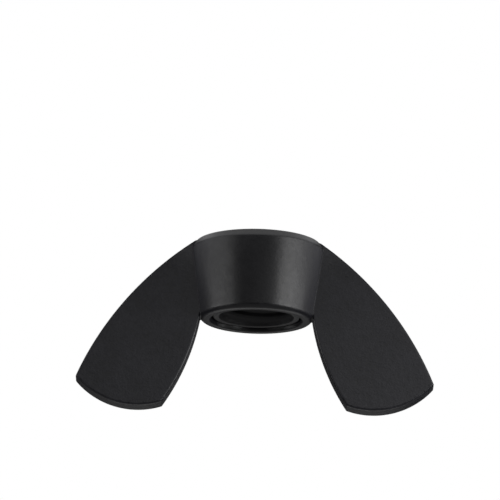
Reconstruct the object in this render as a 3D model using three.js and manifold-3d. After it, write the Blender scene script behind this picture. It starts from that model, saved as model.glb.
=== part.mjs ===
// A moulded nylon wing nut for an M12 stud.
// Millimetres, +Z along the thread. The origin is the centre of the wide bearing face,
// and the two wings rise from it towards +X and -X. Their thickness runs along Y.

import * as THREE from 'three';
import { mergeVertices } from 'three/addons/utils/BufferGeometryUtils.js';
import Module from 'manifold-3d';

// Hub: a cone that narrows from the bearing face to the top face
const HUB_HEIGHT = 13.9;
const BASE_D = 23;
const TOP_D = 19.5;
const BASE_CHAMFER_HEIGHT = 1.25;
const BASE_CHAMFER_DEPTH = 0.8;
const TOP_ROUND = 0.8;
const LIP_HEIGHT = 1.5;
const LIP_HOLE_D = 13;
const LIP_HOLE_CHAMFER = 0.4;

// Wings: flat blades whose outline is three convex arcs, given as X, Z
const WING_THICKNESS = 4.3;
const WING_EDGE_ROUND = 0.35;
const WING_FOOT_LOW = [10.8, 0.1];
const WING_FOOT_HIGH = [9.65, 13.1];
const WING_TIP_OUTER = [30.95, 24.85];
const WING_TIP_INNER = [15.95, 29];
const WING_ROOT_X = 8.4;
const OUTER_EDGE_RADIUS = 56;
const TIP_RADIUS = 13.8;
const INNER_EDGE_RADIUS = 40.5;

// Threaded insert: a bush held by a groove and two flats
const INSERT_D = 15;
const INSERT_RECESS = 0.7;
const INSERT_GAP = 0.3;
const GROOVE_DEPTH = 0.6;
const GROOVE_LOW = 6.2;
const GROOVE_HIGH = 9;
const FLATS_ACROSS = 14.2;

// Metric coarse thread
const THREAD_MAJOR_D = 12;
const THREAD_MINOR_D = 10.1;
const THREAD_PITCH = 1.75;
const COUNTERSINK_D = 13;

// The insert's span along Z
const INSERT_LOW = LIP_HEIGHT + INSERT_GAP;
const INSERT_HIGH = HUB_HEIGHT - INSERT_RECESS;

// How finely curves are divided, and how far a cutter runs past the face it cuts
const HUB_SEGMENTS = 64;
const INSERT_SEGMENTS = 48;
const THREAD_SEGMENTS = 36;
const ARC_STEPS = 10;
const ROUND_STEPS = 4;
const BEVEL_STEPS = 3;
const PAST_FACE = 1;
const MERGE_DISTANCE = 1e-5;

const wasm = await Module();
wasm.setup();

const black = new THREE.Color(0x1d1d1f);
const nylon = new THREE.MeshStandardMaterial({ color: black, roughness: 0.5, metalness: 0 });
const insertNylon = new THREE.MeshStandardMaterial({ color: black, roughness: 0.42, metalness: 0 });

function toSolid(geometry) {
  const bare = geometry.clone();
  bare.deleteAttribute('normal');
  bare.deleteAttribute('uv');
  const merged = mergeVertices(bare, MERGE_DISTANCE);
  const vertProperties = new Float32Array(merged.attributes.position.array);
  const triVerts = new Uint32Array(merged.index.array);
  return new wasm.Manifold(new wasm.Mesh({ numProp: 3, vertProperties, triVerts }));
}

function toMesh(solid, name, material) {
  const { vertProperties, triVerts } = solid.getMesh();
  const geometry = new THREE.BufferGeometry();
  geometry.setAttribute('position', new THREE.BufferAttribute(vertProperties, 3));
  geometry.setIndex(new THREE.BufferAttribute(triVerts, 1));
  geometry.computeVertexNormals();
  const mesh = new THREE.Mesh(geometry, material);
  mesh.name = name;
  return mesh;
}

// A body of revolution about Z from [radius, z] points, listed upwards
function revolve(profile, segments) {
  const points = profile.map(([radius, z]) => new THREE.Vector2(radius, z));
  const geometry = new THREE.LatheGeometry(points, segments);
  geometry.rotateX(Math.PI / 2);
  return toSolid(geometry);
}

// Points on the arc that bulges to the right of the line from start to end, both ends included
function arc(start, end, radius, steps) {
  const [x0, z0] = start;
  const [x1, z1] = end;
  const chord = Math.hypot(x1 - x0, z1 - z0);
  const depth = Math.sqrt(radius ** 2 - (chord / 2) ** 2);
  const centreX = (x0 + x1) / 2 - (z1 - z0) / chord * depth;
  const centreZ = (z0 + z1) / 2 + (x1 - x0) / chord * depth;
  const from = Math.atan2(z0 - centreZ, x0 - centreX);
  const sweep = 2 * Math.asin(chord / 2 / radius);
  return Array.from({ length: steps + 1 }, (_, i) => {
    const angle = from + sweep * i / steps;
    return [centreX + radius * Math.cos(angle), centreZ + radius * Math.sin(angle)];
  });
}

function hubCone() {
  const baseR = BASE_D / 2;
  const topR = TOP_D / 2;
  const roundStart = [topR, HUB_HEIGHT - TOP_ROUND];
  const roundEnd = [topR - TOP_ROUND, HUB_HEIGHT];
  return revolve([
    [0, 0],
    [baseR - BASE_CHAMFER_DEPTH, 0],
    [baseR, BASE_CHAMFER_HEIGHT],
    ...arc(roundStart, roundEnd, TOP_ROUND, ROUND_STEPS),
    [0, HUB_HEIGHT],
  ], HUB_SEGMENTS);
}

function wing() {
  const outline = [
    ...arc(WING_FOOT_LOW, WING_TIP_OUTER, OUTER_EDGE_RADIUS, ARC_STEPS),
    ...arc(WING_TIP_OUTER, WING_TIP_INNER, TIP_RADIUS, ARC_STEPS).slice(1),
    ...arc(WING_TIP_INNER, WING_FOOT_HIGH, INNER_EDGE_RADIUS, ARC_STEPS).slice(1),
    [WING_ROOT_X, WING_FOOT_HIGH[1]],
    [WING_ROOT_X, WING_FOOT_LOW[1]],
  ];
  const shape = new THREE.Shape(outline.map(([x, z]) => new THREE.Vector2(x, z)));
  const geometry = new THREE.ExtrudeGeometry(shape, {
    depth: WING_THICKNESS - 2 * WING_EDGE_ROUND,
    bevelThickness: WING_EDGE_ROUND,
    bevelSize: WING_EDGE_ROUND,
    bevelOffset: -WING_EDGE_ROUND,
    bevelSegments: BEVEL_STEPS,
  });
  geometry.translate(0, 0, WING_EDGE_ROUND - WING_THICKNESS / 2);
  geometry.rotateX(Math.PI / 2);
  return toSolid(geometry);
}

// The insert's outer shape, grown by a gap on every side to make the pocket that holds it
function insertBlank(gap, top) {
  const outerR = INSERT_D / 2 + gap;
  const grooveR = INSERT_D / 2 - GROOVE_DEPTH + gap;
  const low = INSERT_LOW - gap;
  let blank = revolve([
    [0, low],
    [outerR, low],
    [outerR, GROOVE_LOW + gap],
    [grooveR, GROOVE_LOW + gap],
    [grooveR, GROOVE_HIGH - gap],
    [outerR, GROOVE_HIGH - gap],
    [outerR, top],
    [0, top],
  ], INSERT_SEGMENTS);
  const flatHeight = GROOVE_LOW + gap - low;
  for (const side of [1, -1]) {
    const offcut = new THREE.BoxGeometry(INSERT_D, INSERT_D, flatHeight);
    const offset = FLATS_ACROSS / 2 + gap + INSERT_D / 2;
    offcut.translate(0, side * offset, low + flatHeight / 2);
    blank = blank.subtract(toSolid(offcut));
  }
  return blank;
}

// The solid stud that cuts the internal thread: one ridge that climbs a pitch in each turn
function threadStud(low, high) {
  const crestR = THREAD_MAJOR_D / 2;
  const rootR = THREAD_MINOR_D / 2;
  const ridge = [[rootR, 0], [rootR, 1 / 4], [crestR, 9 / 16], [crestR, 11 / 16]];
  const start = low - THREAD_PITCH;
  const turns = Math.ceil((high - start) / THREAD_PITCH);
  const lastRow = turns * ridge.length;
  const rowsPerColumn = lastRow + ridge.length + 1;
  const positions = [];
  for (let column = 0; column < THREAD_SEGMENTS; column += 1) {
    const share = column / THREAD_SEGMENTS;
    const angle = 2 * Math.PI * share;
    for (let row = 0; row < rowsPerColumn; row += 1) {
      const [radius, rise] = ridge[row % ridge.length];
      const turn = Math.floor(row / ridge.length) + rise + share;
      positions.push(radius * Math.cos(angle), radius * Math.sin(angle), start + turn * THREAD_PITCH);
    }
  }
  const bottom = positions.length / 3;
  const top = bottom + 1;
  positions.push(0, 0, start);
  positions.push(0, 0, start + (turns + 1) * THREAD_PITCH);

  // Past the last column the thread meets the first column again, one turn higher
  const at = (column, row) => {
    const isPastLast = column === THREAD_SEGMENTS;
    return isPastLast ? row + ridge.length : column * rowsPerColumn + row;
  };
  const index = [];
  for (let column = 0; column < THREAD_SEGMENTS; column += 1) {
    for (let row = 0; row < lastRow; row += 1) {
      index.push(at(column, row), at(column + 1, row), at(column + 1, row + 1));
      index.push(at(column, row), at(column + 1, row + 1), at(column, row + 1));
    }
    index.push(bottom, at(column + 1, 0), at(column, 0));
    index.push(top, at(column, lastRow), at(column + 1, lastRow));
  }
  for (let step = 0; step < ridge.length; step += 1) {
    index.push(bottom, at(0, step), at(0, step + 1));
    index.push(top, at(0, lastRow + step + 1), at(0, lastRow + step));
  }
  const geometry = new THREE.BufferGeometry();
  geometry.setAttribute('position', new THREE.Float32BufferAttribute(positions, 3));
  geometry.setIndex(index);
  return toSolid(geometry);
}

// What the 45 degree countersinks take from the two mouths of the threaded hole
function countersinks() {
  const mouthR = COUNTERSINK_D / 2;
  const rootR = THREAD_MINOR_D / 2;
  const depth = mouthR - rootR;
  return revolve([
    [0, INSERT_LOW - PAST_FACE],
    [mouthR + PAST_FACE, INSERT_LOW - PAST_FACE],
    [rootR, INSERT_LOW + depth],
    [rootR, INSERT_HIGH - depth],
    [mouthR + PAST_FACE, INSERT_HIGH + PAST_FACE],
    [0, INSERT_HIGH + PAST_FACE],
  ], THREAD_SEGMENTS);
}

function lipHole() {
  const holeR = LIP_HOLE_D / 2;
  return revolve([
    [0, -PAST_FACE],
    [holeR + LIP_HOLE_CHAMFER + PAST_FACE, -PAST_FACE],
    [holeR, LIP_HOLE_CHAMFER],
    [holeR, LIP_HEIGHT + PAST_FACE],
    [0, LIP_HEIGHT + PAST_FACE],
  ], INSERT_SEGMENTS);
}

function wingBody() {
  const pocket = insertBlank(INSERT_GAP, HUB_HEIGHT + PAST_FACE);
  const right = wing();
  const left = right.rotate([0, 0, 180]);
  return hubCone().add(right).add(left).subtract(pocket).subtract(lipHole());
}

function threadedInsert() {
  const stud = threadStud(INSERT_LOW, INSERT_HIGH);
  return insertBlank(0, INSERT_HIGH).subtract(stud).subtract(countersinks());
}

const wingNut = new THREE.Group();
wingNut.add(toMesh(wingBody(), 'wing_body', nylon));
wingNut.add(toMesh(threadedInsert(), 'threaded_insert', insertNylon));

export default wingNut;
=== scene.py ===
"""A black nylon wing nut on a white light table.

The shapes are worked out in millimetres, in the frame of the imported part: the bearing face lies on z = 0,
the thread runs along +Z and the wings rise towards +X and -X. Meshes, lights and camera are in metres.
"""

import math

import bpy
import numpy as np
from mathutils import Matrix, Vector


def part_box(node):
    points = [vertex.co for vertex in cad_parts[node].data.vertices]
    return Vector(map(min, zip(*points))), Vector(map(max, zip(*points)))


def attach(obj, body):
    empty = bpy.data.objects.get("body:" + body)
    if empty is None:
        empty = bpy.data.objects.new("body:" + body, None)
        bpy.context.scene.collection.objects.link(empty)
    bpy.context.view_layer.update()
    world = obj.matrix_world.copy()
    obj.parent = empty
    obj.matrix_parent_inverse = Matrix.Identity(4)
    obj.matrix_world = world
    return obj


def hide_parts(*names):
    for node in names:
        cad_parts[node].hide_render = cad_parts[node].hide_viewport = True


MM = 0.001

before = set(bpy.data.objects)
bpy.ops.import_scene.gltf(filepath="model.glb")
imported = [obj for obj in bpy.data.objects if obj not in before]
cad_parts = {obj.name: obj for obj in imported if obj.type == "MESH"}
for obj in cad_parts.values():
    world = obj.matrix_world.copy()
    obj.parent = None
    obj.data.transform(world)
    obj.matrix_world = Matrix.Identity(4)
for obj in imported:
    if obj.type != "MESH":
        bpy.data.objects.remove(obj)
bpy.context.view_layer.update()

# ---------------------------------------------------------------- sizes, in millimetres

BODY_LOW, BODY_HIGH = (np.array(corner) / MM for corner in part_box("wing_body"))
INSERT_LOW, INSERT_HIGH = (np.array(corner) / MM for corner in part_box("threaded_insert"))

# Hub
HUB_HEIGHT = 13.9
BASE_R = BODY_HIGH[1]
TOP_R = 9.75
CHAMFER_HEIGHT = 1.25
CHAMFER_DEPTH = 0.8
CHAMFER_ROUND = 0.3
TOP_ROUND = 1.05
LIP_HEIGHT = 1.5
LIP_HOLE_R = 6.5
LIP_HOLE_CHAMFER = 0.4
POCKET_FLARE = 0.3
RIM_ROUND = 0.25

# Wings
WING_THICKNESS = 4.3
WING_EDGE_ROUND = 0.35
TIP_CORNER_ROUND = 0.3
ROOT_FILLET = 0.2
WING_FOOT_LOW = (10.8, 0.1)
WING_FOOT_HIGH = (9.65, 13.1)
WING_TIP_OUTER = (BODY_HIGH[0], 24.85)
WING_TIP_INNER = (15.95, 29.0)
WING_ROOT_X = 8.4
OUTER_EDGE_RADIUS = 56
TIP_RADIUS = 13.9
INNER_EDGE_RADIUS = 40.5

# Insert, its thread and the clear gap around it
INSERT_R = INSERT_HIGH[0]
INSERT_GAP = 0.3
GROOVE_R = INSERT_R - 0.6
GROOVE_LOW = 6.2
GROOVE_HIGH = 9.0
HALF_ACROSS_FLATS = 7.1
INSERT_CORNER_ROUND = 0.2
COUNTERSINK_R = 6.5
MOUTH_EDGE_R = COUNTERSINK_R + 0.1
THREAD_MAJOR_R = 6.0
THREAD_MINOR_R = 5.05
THREAD_PITCH = 1.75
HALF_ROOT_FLAT = THREAD_PITCH / 16
FLANK_SLOPE = 1 / math.tan(math.radians(30))
THREAD_ROUND = 0.12
LEAD_IN_DEPTH = 2.7
LEAD_IN_SHARE = 0.35
THREAD_FULL_DEPTH = 5.0

# Fineness of the meshes
GRID_STEP = 0.2
GRID_MARGIN = 0.5
ARC_STEPS = 56
CORNER_STEPS = 10
SLOPE_STEP = 0.04
SMALLEST_RISE = 1e-6
SMALLEST_SINE = 0.1
EVENING_ROUNDS = 3
INSERT_COLUMNS = 192
INSERT_ROWS = 230


# ---------------------------------------------------------------- outlines

def arc(start, end, radius, steps=ARC_STEPS):
    """Points on the arc that bulges to the right of the line from start to end, both ends included."""
    start, end = np.array(start, float), np.array(end, float)
    chord = end - start
    length = np.hypot(*chord)
    leftward = np.array((-chord[1], chord[0])) / length
    centre = (start + end) / 2 + leftward * math.sqrt(radius ** 2 - (length / 2) ** 2)
    first = math.atan2(*(start - centre)[::-1])
    sweep = 2 * math.asin(length / 2 / radius)
    angles = first + sweep * np.linspace(0, 1, steps + 1)
    return [centre + radius * np.array((math.cos(a), math.sin(a))) for a in angles]


def round_corner(before, corner, after, radius):
    """The arc of that radius that touches both lines at a corner, as a list of points."""
    before, corner, after = (np.array(p, float) for p in (before, corner, after))
    back = (before - corner) / np.hypot(*(before - corner))
    on = (after - corner) / np.hypot(*(after - corner))
    half = math.acos(np.clip(back @ on, -1, 1)) / 2
    reach = radius / math.tan(half)
    middle = (back + on) / np.hypot(*(back + on))
    centre = corner + middle * radius / math.sin(half)
    first, last = corner + back * reach - centre, corner + on * reach - centre
    turn = math.atan2(first[0] * last[1] - first[1] * last[0], first @ last)
    start = math.atan2(first[1], first[0])
    angles = start + turn * np.linspace(0, 1, CORNER_STEPS + 1)
    return [centre + radius * np.array((math.cos(a), math.sin(a))) for a in angles]


def outline(*corners):
    """A closed outline from (point, corner radius) pairs. A radius of 0 leaves the corner sharp."""
    points = []
    for i, (corner, radius) in enumerate(corners):
        before, after = corners[i - 1][0], corners[(i + 1) % len(corners)][0]
        points += round_corner(before, corner, after, radius) if radius else [np.array(corner, float)]
    return np.array(points)


def hub_outline():
    """The hub as half a section, radius and z, with no hole in it."""
    return outline(
        ((0, 0), 0),
        ((BASE_R - CHAMFER_DEPTH, 0), CHAMFER_ROUND),
        ((BASE_R, CHAMFER_HEIGHT), CHAMFER_ROUND),
        ((TOP_R, HUB_HEIGHT), TOP_ROUND),
        ((0, HUB_HEIGHT), 0),
    )


def pocket_outline():
    """What is taken out of the hub, as half a section: the hole in its lip and the room for the insert."""
    beyond = 2
    wide, narrow = INSERT_R + INSERT_GAP, GROOVE_R + INSERT_GAP
    flared = wide + POCKET_FLARE * (HUB_HEIGHT + beyond - INSERT_HIGH[2])
    return outline(
        ((0, -beyond), 0),
        ((LIP_HOLE_R + LIP_HOLE_CHAMFER + beyond, -beyond), 0),
        ((LIP_HOLE_R, LIP_HOLE_CHAMFER), 0),
        ((LIP_HOLE_R, LIP_HEIGHT), 0),
        ((wide, LIP_HEIGHT), 0),
        ((wide, GROOVE_LOW + INSERT_GAP), 0),
        ((narrow, GROOVE_LOW + INSERT_GAP), 0),
        ((narrow, GROOVE_HIGH - INSERT_GAP), 0),
        ((wide, GROOVE_HIGH - INSERT_GAP), 0),
        ((wide, INSERT_HIGH[2]), 0),
        ((flared, HUB_HEIGHT + beyond), 0),
        ((0, HUB_HEIGHT + beyond), 0),
    )


def wing_outline():
    """One wing seen along Y, as x and z: three convex arcs with rounded tip corners."""
    outer = arc(WING_FOOT_LOW, WING_TIP_OUTER, OUTER_EDGE_RADIUS)
    tip = arc(WING_TIP_OUTER, WING_TIP_INNER, TIP_RADIUS)
    inner = arc(WING_TIP_INNER, WING_FOOT_HIGH, INNER_EDGE_RADIUS)
    skip = 3
    outer_corner = round_corner(outer[-skip], WING_TIP_OUTER, tip[skip], TIP_CORNER_ROUND)
    inner_corner = round_corner(tip[-skip], WING_TIP_INNER, inner[skip], TIP_CORNER_ROUND)
    root = [(WING_ROOT_X, WING_FOOT_HIGH[1]), (WING_ROOT_X, WING_FOOT_LOW[1])]
    return np.array(outer[:-skip] + outer_corner + tip[skip:-skip] + inner_corner + inner[skip:] + root)


HUB_OUTLINE = hub_outline()
POCKET_OUTLINE = pocket_outline()
WING_OUTLINE = wing_outline()


# ---------------------------------------------------------------- the body as a distance field

def polygon_distance(u, v, polygon):
    """Distance from each 2-D point (u, v) to a closed polygon, negative inside it."""
    nearest = np.full(u.shape, np.inf)
    inside = np.zeros(u.shape, bool)
    for (u0, v0), (u1, v1) in zip(polygon, np.roll(polygon, -1, axis=0)):
        du, dv = u1 - u0, v1 - v0
        pu, pv = u - u0, v - v0
        along = np.clip((pu * du + pv * dv) / (du * du + dv * dv), 0, 1)
        nearest = np.minimum(nearest, (pu - along * du) ** 2 + (pv - along * dv) ** 2)
        if dv:
            inside ^= ((v0 > v) != (v1 > v)) & (pu < du * pv / dv)
    return np.where(inside, -1, 1) * np.sqrt(nearest)


def join(a, b, radius):
    """Both solids, with a fillet of that radius in the corner between them."""
    fillet = np.hypot(np.maximum(radius - a, 0), np.maximum(radius - b, 0))
    return np.maximum(radius, np.minimum(a, b)) - fillet


def common(a, b, radius):
    """Where both solids are, with its edges rounded to that radius."""
    rounding = np.hypot(np.maximum(radius + a, 0), np.maximum(radius + b, 0))
    return np.minimum(-radius, np.maximum(a, b)) + rounding


def assemble(hub, pocket, blade, y, z):
    """The body's field from the distances to its outlines."""
    wings = common(blade, np.abs(y) - WING_THICKNESS / 2, WING_EDGE_ROUND)
    beside_flats = np.maximum(z - GROOVE_LOW - INSERT_GAP, HALF_ACROSS_FLATS + INSERT_GAP - np.abs(y))
    pocket = np.maximum(pocket, -np.maximum(beside_flats, LIP_HEIGHT - z))
    solid = join(hub, wings, ROOT_FILLET)
    standing = common(solid, -z, RIM_ROUND)
    return common(standing, -pocket, RIM_ROUND)


def body_field(points):
    """Distance in millimetres from 3-D points to the surface of the moulded body, negative inside."""
    x, y, z = np.ascontiguousarray(points.T)
    reach = np.hypot(x, y)
    hub = polygon_distance(reach, z, HUB_OUTLINE)
    pocket = polygon_distance(reach, z, POCKET_OUTLINE)
    return assemble(hub, pocket, polygon_distance(np.abs(x), z, WING_OUTLINE), y, z)


def body_grid(xs, ys, zs):
    """The same field on a grid, from one table for what is round and one for the wings' outline."""
    def table(first, polygon):
        return polygon_distance(*np.meshgrid(first, zs, indexing="ij"), polygon)

    reach = np.hypot(*np.meshgrid(xs, ys, indexing="ij"))
    radii = np.arange(0, reach.max() + 2 * GRID_STEP, GRID_STEP / 2)
    place = reach / (radii[1] - radii[0])
    cell = place.astype(int)
    share = (place - cell)[..., None]
    around = [table(radii, polygon) for polygon in (HUB_OUTLINE, POCKET_OUTLINE)]
    hub, pocket = (t[cell] * (1 - share) + t[cell + 1] * share for t in around)
    blade = table(np.abs(xs), WING_OUTLINE)[:, None, :]
    return assemble(hub, pocket, blade, ys[None, :, None], zs[None, None, :])


def unit_slope(field, points):
    """The direction in which the field rises at each point, from its values at a small tetrahedron's corners.

    It is almost zero where the field has no slope, and such a point then stays where it is.
    """
    corners = np.array([(1, -1, -1), (-1, -1, 1), (-1, 1, -1), (1, 1, 1)])
    rise = sum(field(points + SLOPE_STEP * corner)[:, None] * corner for corner in corners)
    return rise / np.maximum(np.linalg.norm(rise, axis=1, keepdims=True), SMALLEST_RISE)


# ---------------------------------------------------------------- meshes

CELL_CORNERS = np.array([(i, j, k) for i in (0, 1) for j in (0, 1) for k in (0, 1)])
CELL_EDGES = [(a, b) for a in range(8) for b in range(a + 1, 8)
              if np.abs(CELL_CORNERS[a] - CELL_CORNERS[b]).sum() == 1]


def surface_net(values, low, step):
    """Vertices and quads of the surface where a grid of values is zero, one vertex in each cell crossed."""
    inside = values < 0
    size = np.array(values.shape) - 1
    count = np.zeros(size, int)
    for i, j, k in CELL_CORNERS:
        count += inside[i:i + size[0], j:j + size[1], k:k + size[2]]
    crossed = (count > 0) & (count < 8)
    number = np.full(size, -1)
    number[crossed] = np.arange(crossed.sum())
    cells = np.argwhere(crossed)

    at_corner = np.stack([values[tuple((cells + corner).T)] for corner in CELL_CORNERS], axis=1)
    total = np.zeros((len(cells), 3))
    crossings = np.zeros(len(cells))
    for a, b in CELL_EDGES:
        start, end = at_corner[:, a], at_corner[:, b]
        cuts = (start < 0) != (end < 0)
        share = np.where(cuts, start / np.where(cuts, start - end, 1), 0)[:, None]
        place = CELL_CORNERS[a] + share * (CELL_CORNERS[b] - CELL_CORNERS[a])
        total += np.where(cuts[:, None], place, 0)
        crossings += cuts
    vertices = low + (cells + total / crossings[:, None]) * step

    quads = []
    for axis in range(3):
        u, v = (axis + 1) % 3, (axis + 2) % 3
        ahead = np.roll(inside, -1, axis=axis)
        changes = inside != ahead
        changes[tuple(slice(-1, None) if n == axis else slice(None) for n in range(3))] = False
        nodes = np.argwhere(changes)
        ring = []
        for du, dv in ((-1, -1), (0, -1), (0, 0), (-1, 0)):
            cell = nodes.copy()
            cell[:, u] += du
            cell[:, v] += dv
            ring.append(number[tuple(cell.T)])
        ring = np.stack(ring, axis=1)
        leaves = inside[tuple(nodes.T)]
        quads.append(np.where(leaves[:, None], ring, ring[:, ::-1]))
    return vertices, np.concatenate(quads)


def settle(vertices, quads, field):
    """Evens out a net and moves each vertex onto the surface. Returns the vertices and their normals."""
    edges = np.concatenate([quads[:, (i, (i + 1) % 4)] for i in range(4)])
    neighbours = np.bincount(edges[:, 0], minlength=len(vertices))[:, None]
    normals = unit_slope(field, vertices)
    for _ in range(EVENING_ROUNDS):
        sums = [np.bincount(edges[:, 0], vertices[edges[:, 1], n], len(vertices)) for n in range(3)]
        vertices = (vertices + np.stack(sums, axis=1) / neighbours) / 2
        vertices = vertices - field(vertices)[:, None] * normals
    normals = unit_slope(field, vertices)
    vertices = vertices - field(vertices)[:, None] * normals
    return vertices, normals


def make_piece(name, vertices, faces, material, node, normals=None):
    """A mesh object from millimetre vertices, riding on the frame in place of a CAD node."""
    mesh = bpy.data.meshes.new(name)
    mesh.from_pydata((np.asarray(vertices) * MM).tolist(), [], np.asarray(faces).tolist())
    mesh.validate()
    mesh.shade_smooth()
    if normals is not None:
        mesh.normals_split_custom_set_from_vertices(normals.tolist())
    mesh.materials.append(material)
    piece = bpy.data.objects.new(name, mesh)
    bpy.context.scene.collection.objects.link(piece)
    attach(piece, "root")
    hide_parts(node)
    return piece


def wing_body(material):
    """Hub and wings in one skin, with every edge rounded and the wing roots filleted."""
    low, high = BODY_LOW - GRID_MARGIN, BODY_HIGH + GRID_MARGIN
    axes = [np.arange(low[n], high[n] + GRID_STEP, GRID_STEP) for n in range(3)]
    vertices, quads = surface_net(body_grid(*axes), low, GRID_STEP)
    vertices, normals = settle(vertices, quads, body_field)
    return make_piece("moulded_body", vertices, quads, material, "wing_body", normals)


def thread_radius(angle, z):
    """Radius of the hole's wall: a softened right-hand metric thread that fades out towards each mouth."""
    turn = z / THREAD_PITCH - angle / (2 * math.pi)
    from_groove = np.abs(turn - np.round(turn)) * THREAD_PITCH
    flank = THREAD_MAJOR_R - (from_groove - HALF_ROOT_FLAT) * FLANK_SLOPE
    full = soft_clip(flank, THREAD_MINOR_R, THREAD_MAJOR_R, THREAD_ROUND)
    from_mouth = np.minimum(INSERT_HIGH[2] - z, z - INSERT_LOW[2])
    narrowing = (COUNTERSINK_R - THREAD_MINOR_R) * from_mouth / LEAD_IN_DEPTH
    share = np.interp(from_mouth, (0, LEAD_IN_DEPTH, THREAD_FULL_DEPTH), (0, LEAD_IN_SHARE, 1))
    bore = soft_max(COUNTERSINK_R - narrowing, THREAD_MINOR_R, THREAD_ROUND)
    return bore + (full - THREAD_MINOR_R) * share


def soft_max(a, b, width):
    """The larger of two values, blended where they are within that width of each other."""
    blend = np.maximum(width - np.abs(a - b), 0) ** 2 / (4 * width)
    return np.maximum(a, b) + blend


def soft_clip(value, low, high, width):
    """A value held between two limits, with softened corners."""
    return soft_max(-soft_max(-value, -high, width), low, width)


def threaded_insert(material):
    """The bush: a wall with a groove and two flats, and a threaded hole with a cone at both mouths."""
    low, high = INSERT_LOW[2], INSERT_HIGH[2]
    section = outline(
        ((MOUTH_EDGE_R, low), 0),
        ((INSERT_R, low), INSERT_CORNER_ROUND),
        ((INSERT_R, GROOVE_LOW), INSERT_CORNER_ROUND),
        ((GROOVE_R, GROOVE_LOW), 0),
        ((GROOVE_R, GROOVE_HIGH), 0),
        ((INSERT_R, GROOVE_HIGH), INSERT_CORNER_ROUND),
        ((INSERT_R, high), INSERT_CORNER_ROUND),
        ((MOUTH_EDGE_R, high), 0),
    )
    angles = np.linspace(0, 2 * math.pi, INSERT_COLUMNS, endpoint=False)
    heights = np.linspace(high, low, INSERT_ROWS)
    spin, z = np.meshgrid(angles, heights, indexing="ij")
    hole = thread_radius(spin, z)
    turn = angles[:, None]
    to_flat = HALF_ACROSS_FLATS / np.maximum(np.abs(np.sin(turn)), SMALLEST_SINE)
    flattened = np.minimum(section[:, 0], to_flat)
    wall = np.where(section[:, 1] < GROOVE_LOW, flattened, section[:, 0])
    radius = np.concatenate((wall, hole), axis=1)
    wall_height = np.broadcast_to(section[:, 1], (INSERT_COLUMNS, len(section)))
    height = np.concatenate((wall_height, z), axis=1)
    vertices = np.stack((radius * np.cos(turn), radius * np.sin(turn), height), axis=-1).reshape(-1, 3)
    columns, rows = radius.shape
    number = np.arange(columns * rows).reshape(columns, rows)
    beside, above = np.roll(number, -1, axis=0), np.roll(number, -1, axis=1)
    quads = np.stack((number, beside, np.roll(beside, -1, axis=1), above), axis=-1).reshape(-1, 4)
    return make_piece("threaded_bush", vertices, quads, material, "threaded_insert")


# ---------------------------------------------------------------- materials

def new_material(name):
    """An empty node material and helpers to add and link nodes."""
    material = bpy.data.materials.new(name)
    material.use_nodes = True
    tree = material.node_tree
    tree.nodes.clear()
    return material, tree


def add(tree, kind, inputs=(), **settings):
    """Adds a node, sets its properties, and sets or links its inputs given as (socket, value) pairs."""
    node = tree.nodes.new(kind)
    for key, value in settings.items():
        setattr(node, key, value)
    for socket, value in inputs:
        if isinstance(value, bpy.types.NodeSocket):
            tree.links.new(value, node.inputs[socket])
        else:
            node.inputs[socket].default_value = value
    return node


def noise(tree, place, size, detail=2.0, roughness=0.5):
    """A noise texture whose features are about size metres across. Returns its value, 0 to 1."""
    node = add(tree, "ShaderNodeTexNoise", [
        ("Vector", place), ("Scale", 1 / size), ("Detail", detail), ("Roughness", roughness)])
    return node.outputs["Fac"]


def remap(tree, value, low, high, to_low, to_high):
    """Value stretched from one range to another, and held inside it."""
    node = add(tree, "ShaderNodeMapRange", [
        ("Value", value), ("From Min", low), ("From Max", high), ("To Min", to_low), ("To Max", to_high)])
    return node.outputs["Result"]


def math_node(tree, operation, a, b):
    return add(tree, "ShaderNodeMath", [(0, a), (1, b)], operation=operation).outputs[0]


def mix_colour(tree, share, a, b):
    node = add(tree, "ShaderNodeMix", [("Factor", share), (6, a), (7, b)], data_type="RGBA")
    return node.outputs[2]


def beside_wings(tree, x, y, z):
    """Two masks on the cone, 0 to 1, that carry its painted sheen and painted shade: how near to a wing along
    X, and the crease right beside it.
    """
    off_wing = remap(tree, y, *OFF_WING_BETWEEN, 0.0, 1.0)
    on_cone = remap(tree, z, *CONE_STARTS_BETWEEN, 0.0, 1.0)
    below_rim = remap(tree, z, *CONE_ENDS_BETWEEN, 1.0, 0.0)
    here = math_node(tree, "MULTIPLY", off_wing, math_node(tree, "MULTIPLY", on_cone, below_rim))
    near = remap(tree, x, NEAR_WING_FROM, NEAR_WING_TO, 0.0, 1.0)
    crease = remap(tree, y, CREASE_WITHIN, CREASE_EDGE, 1.0, 0.0)
    crease = math_node(tree, "MULTIPLY", crease, remap(tree, x, *CREASE_STARTS_BETWEEN, 0.0, 1.0))
    return math_node(tree, "MULTIPLY", near, here), math_node(tree, "MULTIPLY", crease, here)


# Shading masks that stand in for reflections, as distances from the axis or heights, in metres.
# Painted shade: the hub's face is blacker than its sides and the wings
HUB_FACE_PAINTED_SHADE = 0.6
PAINTED_SHADE_FADES_BETWEEN = 5.0 * MM, 9.0 * MM
# The cone is duller and greyer towards the wings, the grey a painted sheen. The crease right beside them is
# rougher but less grey, a painted shade
OFF_WING_BETWEEN = (WING_THICKNESS / 2 + 0.003) * MM, (WING_THICKNESS / 2 + 0.02) * MM
CONE_STARTS_BETWEEN = (CHAMFER_HEIGHT + 0.1) * MM, (CHAMFER_HEIGHT + 0.4) * MM
CONE_ENDS_BETWEEN = (HUB_HEIGHT - 0.9) * MM, (HUB_HEIGHT - 0.6) * MM
CREASE_STARTS_BETWEEN = 8.5 * MM, 9.0 * MM
NEAR_WING_FROM, NEAR_WING_TO = 8.0 * MM, 10.4 * MM
NEAR_WING_ROUGHER = 0.22
NEAR_WING_PAINTED_SHEEN = (0.042, 0.042, 0.049, 1)
CREASE_WITHIN, CREASE_EDGE = 2.4 * MM, 2.7 * MM
CREASE_ROUGHER = 0.1
CREASE_PAINTED_SHADE = 0.6

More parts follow.
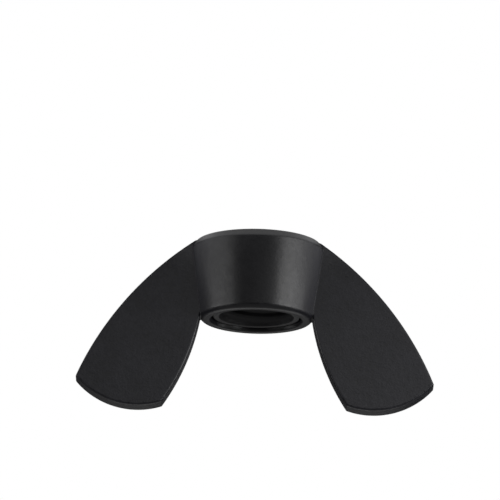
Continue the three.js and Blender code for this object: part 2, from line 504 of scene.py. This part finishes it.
# Where the edges are sharp enough to be rubbed, on the wings only
RUBBED_BETWEEN = 0.57, 0.66
RUBBED_PALER = 2.2
RUBBED_SMOOTHER = 0.1
SMOOTH_GRAIN = 0.25
GRAIN_DEPTH = 0.07 * MM
NYLON_IOR = 1.53
BLACK = (0, 0, 0, 1)


def nylon(name, deep, pale, roughness, grain, smooth_within, coarse_beyond):
    """Black moulded nylon: a spark-eroded grain, mottled colour and edges rubbed a little smoother and paler,
    with painted shade on the hub's face, a painted sheen on the cone beside the wings and painted shade in
    the crease there.

    The grain is faint near the thread's axis and full on the wings, between two distances along X in metres.
    """
    material, tree = new_material(name)
    place = add(tree, "ShaderNodeTexCoord").outputs["Object"]
    mottle = noise(tree, place, 4.0 * MM, detail=4.0)
    blotch = noise(tree, place, 0.9 * MM, detail=3.0, roughness=0.6)
    speckle = noise(tree, place, 0.35 * MM, detail=3.0, roughness=0.6)
    fine = noise(tree, place, 0.12 * MM, detail=2.0)
    axes = add(tree, "ShaderNodeSeparateXYZ", [(0, place)]).outputs
    along = math_node(tree, "ABSOLUTE", axes["X"], 0.0)
    across = math_node(tree, "ABSOLUTE", axes["Y"], 0.0)
    coarse = remap(tree, along, smooth_within, coarse_beyond, SMOOTH_GRAIN, 1.0)

    pointiness = add(tree, "ShaderNodeNewGeometry").outputs["Pointiness"]
    edge = remap(tree, pointiness, *RUBBED_BETWEEN, 0.0, 1.0)
    worn = math_node(tree, "MULTIPLY", edge, remap(tree, mottle, 0.35, 0.65, 0.4, 1.0))
    worn = math_node(tree, "MULTIPLY", worn, remap(tree, coarse, 0.9, 1.0, 0.0, 1.0))

    tone = remap(tree, speckle, 0.3, 0.7, 0.0, 0.3)
    tone = math_node(tree, "ADD", tone, remap(tree, blotch, 0.3, 0.7, 0.0, 0.4))
    tone = math_node(tree, "ADD", tone, remap(tree, mottle, 0.35, 0.65, 0.0, 0.3))
    swing = math_node(tree, "MULTIPLY", math_node(tree, "SUBTRACT", tone, 0.5), coarse)
    tone = math_node(tree, "ADD", swing, 0.5)
    base = mix_colour(tree, tone, deep, pale)
    # Painted shade: the hub's face is mixed towards black, fading out towards the wings
    painted_shade_base = mix_colour(tree, HUB_FACE_PAINTED_SHADE, base, BLACK)
    base = mix_colour(tree, remap(tree, along, *PAINTED_SHADE_FADES_BETWEEN, 0.0, 1.0), painted_shade_base, base)
    near_wing, crease = beside_wings(tree, along, across, axes["Z"])
    # Painted sheen: the cone beside the wings is greyer; the crease right beside them gets less of it, a
    # painted shade
    sheen_share = math_node(tree, "SUBTRACT", near_wing, math_node(tree, "MULTIPLY", crease, CREASE_PAINTED_SHADE))
    base = mix_colour(tree, sheen_share, base, NEAR_WING_PAINTED_SHEEN)
    rubbed = tuple(RUBBED_PALER * c for c in pale[:3]) + (1.0,)
    colour = mix_colour(tree, worn, base, rubbed)

    rough = remap(tree, blotch, 0.3, 0.7, roughness - 0.04, roughness + 0.04)
    rough = math_node(tree, "ADD", rough, remap(tree, mottle, 0.3, 0.7, -0.03, 0.03))
    rough = math_node(tree, "SUBTRACT", rough, math_node(tree, "MULTIPLY", worn, RUBBED_SMOOTHER))
    rough = math_node(tree, "ADD", rough, math_node(tree, "MULTIPLY", near_wing, NEAR_WING_ROUGHER))
    rough = math_node(tree, "ADD", rough, math_node(tree, "MULTIPLY", crease, CREASE_ROUGHER))

    relief = math_node(tree, "MULTIPLY", speckle, 0.4)
    relief = math_node(tree, "ADD", relief, math_node(tree, "MULTIPLY", fine, 0.15))
    relief = math_node(tree, "ADD", relief, blotch)
    relief = math_node(tree, "MULTIPLY", relief, coarse)
    bump = add(tree, "ShaderNodeBump", [("Strength", grain), ("Distance", GRAIN_DEPTH), ("Height", relief)])
    shader = add(tree, "ShaderNodeBsdfPrincipled", [
        ("Base Color", colour), ("Roughness", rough), ("Normal", bump.outputs["Normal"]), ("IOR", NYLON_IOR)])
    add(tree, "ShaderNodeOutputMaterial", [("Surface", shader.outputs[0])])
    return material


# ---------------------------------------------------------------- stage, lights and camera

TABLE_REACH = 30.0
# The table's glow as the nut gets it: even under the hub, then falling from -X to +X and towards the back,
# rising outwards, and shaded near the line under the wings
HUB_EDGE = 15.5 * MM
EDGE_BLUR = 1.5 * MM
SPREAD = 0.1
GLOW_AT_HUB = 0.88
GLOW_LOW, GLOW_HIGH = 0.12, 0.76
BACK_FADE_FROM, BACK_FADE_TO = 20 * MM, 60 * MM
GLOW_BEHIND = 0.15
NEAR, FAR = 20 * MM, 100 * MM
GAIN_NEAR, GAIN_FAR = 0.84, 1.31
SHADE_WITHIN, SHADE_EDGE = 2.5 * MM, 6.5 * MM
SHADE_FADE_FROM, SHADE_FADE_TO = 20 * MM, 40 * MM
SHADE = 0.2


def light_table():
    """A glowing table: pure white to the camera, and an uneven soft pool of light to the nut on it.

    The pool is tuned so that the nut's tones come out as they are in the photograph.
    """
    material, tree = new_material("light_table")
    place = add(tree, "ShaderNodeTexCoord").outputs["Object"]
    distance = add(tree, "ShaderNodeVectorMath", [(0, place)], operation="LENGTH").outputs["Value"]
    axes = add(tree, "ShaderNodeSeparateXYZ", [(0, place)]).outputs
    wide = remap(tree, axes["X"], -SPREAD, SPREAD, GLOW_HIGH, GLOW_LOW)
    behind = remap(tree, axes["Y"], BACK_FADE_FROM, BACK_FADE_TO, 1.0, GLOW_BEHIND)
    wide = math_node(tree, "MULTIPLY", wide, behind)
    wide = math_node(tree, "MULTIPLY", wide, remap(tree, distance, NEAR, FAR, GAIN_NEAR, GAIN_FAR))
    away = remap(tree, distance, HUB_EDGE, HUB_EDGE + EDGE_BLUR, 0.0, 1.0)
    pool = add(tree, "ShaderNodeMix", [("Factor", away), (2, GLOW_AT_HUB), (3, wide)]).outputs[0]
    across = math_node(tree, "ABSOLUTE", axes["Y"], 0.0)
    shade = remap(tree, across, SHADE_WITHIN, SHADE_EDGE, SHADE, 1.0)
    clear = remap(tree, distance, SHADE_FADE_FROM, SHADE_FADE_TO, 0.0, 1.0)
    shade = add(tree, "ShaderNodeMix", [("Factor", clear), (2, shade), (3, 1.0)]).outputs[0]
    pool = math_node(tree, "MULTIPLY", pool, shade)
    seen = add(tree, "ShaderNodeLightPath").outputs["Is Camera Ray"]
    strength = add(tree, "ShaderNodeMix", [("Factor", seen), (2, pool), (3, 1.0)]).outputs[0]
    glow = add(tree, "ShaderNodeEmission", [("Color", (1, 1, 1, 1)), ("Strength", strength)])
    add(tree, "ShaderNodeOutputMaterial", [("Surface", glow.outputs[0])])

    mesh = bpy.data.meshes.new("table_top")
    corners = [(x * TABLE_REACH, y * TABLE_REACH, 0) for x, y in ((-1, -1), (1, -1), (1, 1), (-1, 1))]
    mesh.from_pydata(corners, [], [(0, 1, 2, 3)])
    mesh.materials.append(material)
    table = bpy.data.objects.new("table_top", mesh)
    bpy.context.scene.collection.objects.link(table)


# Sines of the elevations between which the light from overhead sets in
CEILING_FROM, CEILING_TO = 0.25, 0.7
CEILING_GLOW = 0.23


def surroundings():
    """A backdrop that is white to the camera and, to the nut, black at the sides and dim overhead."""
    world = bpy.data.worlds.new("studio")
    world.use_nodes = True
    tree = world.node_tree
    tree.nodes.clear()
    seen = add(tree, "ShaderNodeLightPath").outputs["Is Camera Ray"]
    towards = add(tree, "ShaderNodeTexCoord").outputs["Generated"]
    height = add(tree, "ShaderNodeSeparateXYZ", [(0, towards)]).outputs["Z"]
    fill = remap(tree, height, CEILING_FROM, CEILING_TO, 0.0, CEILING_GLOW)
    strength = add(tree, "ShaderNodeMix", [("Factor", seen), (2, fill), (3, 1.0)]).outputs[0]
    glow = add(tree, "ShaderNodeBackground", [("Color", (1, 1, 1, 1)), ("Strength", strength)])
    add(tree, "ShaderNodeOutputWorld", [("Surface", glow.outputs[0])])
    bpy.context.scene.world = world


def direction(azimuth, elevation):
    """Unit vector from the nut. Azimuth 0 points to -Y and 90 to +X."""
    a, e = math.radians(azimuth), math.radians(elevation)
    return Vector((math.sin(a) * math.cos(e), -math.cos(a) * math.cos(e), math.sin(e)))


BOX_DISTANCE = 0.25


def softbox(name, azimuth, elevation, width, height, radiance):
    """A rectangular soft light that faces the hub and isn't seen by the camera."""
    light = bpy.data.lights.new(name, "AREA")
    light.shape = "RECTANGLE"
    light.size, light.size_y = width, height
    light.energy = radiance * math.pi * width * height
    lamp = bpy.data.objects.new(name, light)
    outward = direction(azimuth, elevation)
    lamp.location = outward * BOX_DISTANCE + Vector((0, 0, HUB_HEIGHT * MM / 2))
    lamp.rotation_mode = "QUATERNION"
    lamp.rotation_quaternion = outward.to_track_quat("Z", "Y")
    lamp.visible_camera = False
    bpy.context.scene.collection.objects.link(lamp)


CAMERA_ELEVATION = 14.53
CAMERA_ROLL = 181.44
CAMERA_DISTANCE = 1.2
CAMERA_LENS = 497.7
CAMERA_AIM = Vector((1.38, 0, 1.15)) * MM


def photo_camera():
    """A long lens just above the bearing face's level, held upside down, so that the wings hang down."""
    data = bpy.data.cameras.new("camera")
    data.lens = CAMERA_LENS
    data.sensor_width = 36
    data.clip_start, data.clip_end = 0.01, 100
    camera = bpy.data.objects.new("camera", data)
    back = direction(0, CAMERA_ELEVATION)
    level = back.to_track_quat("Z", "Y").to_matrix().to_4x4()
    roll = Matrix.Rotation(math.radians(CAMERA_ROLL), 4, "Z")
    camera.matrix_world = Matrix.Translation(CAMERA_AIM + back * CAMERA_DISTANCE) @ level @ roll
    bpy.context.scene.collection.objects.link(camera)
    bpy.context.scene.camera = camera


# ---------------------------------------------------------------- the scene

body_nylon = nylon(
    "body_nylon", deep=(0.003, 0.003, 0.0055, 1), pale=(0.021, 0.021, 0.0271, 1),
    roughness=0.36, grain=1.0, smooth_within=10 * MM, coarse_beyond=12 * MM)
bush_nylon = nylon(
    "bush_nylon", deep=(0.018, 0.018, 0.021, 1), pale=(0.03, 0.03, 0.035, 1),
    roughness=0.5, grain=0.5, smooth_within=0.0, coarse_beyond=5 * MM)
wing_body(body_nylon)
threaded_insert(bush_nylon)

light_table()
surroundings()
softbox("key_box", -62, 2, width=0.19, height=0.09, radiance=5.1)
softbox("key_side_box", -94, 2, width=0.088, height=0.09, radiance=2.5)
softbox("fill_box", 76, 2, width=0.30, height=0.09, radiance=2.35)
softbox("back_box", 165, 14, width=0.289, height=0.08, radiance=0.08)
softbox("high_back_box", 180, 50, width=0.25, height=0.12, radiance=0.72)
photo_camera()
bpy.context.scene.view_settings.view_transform = "Standard"
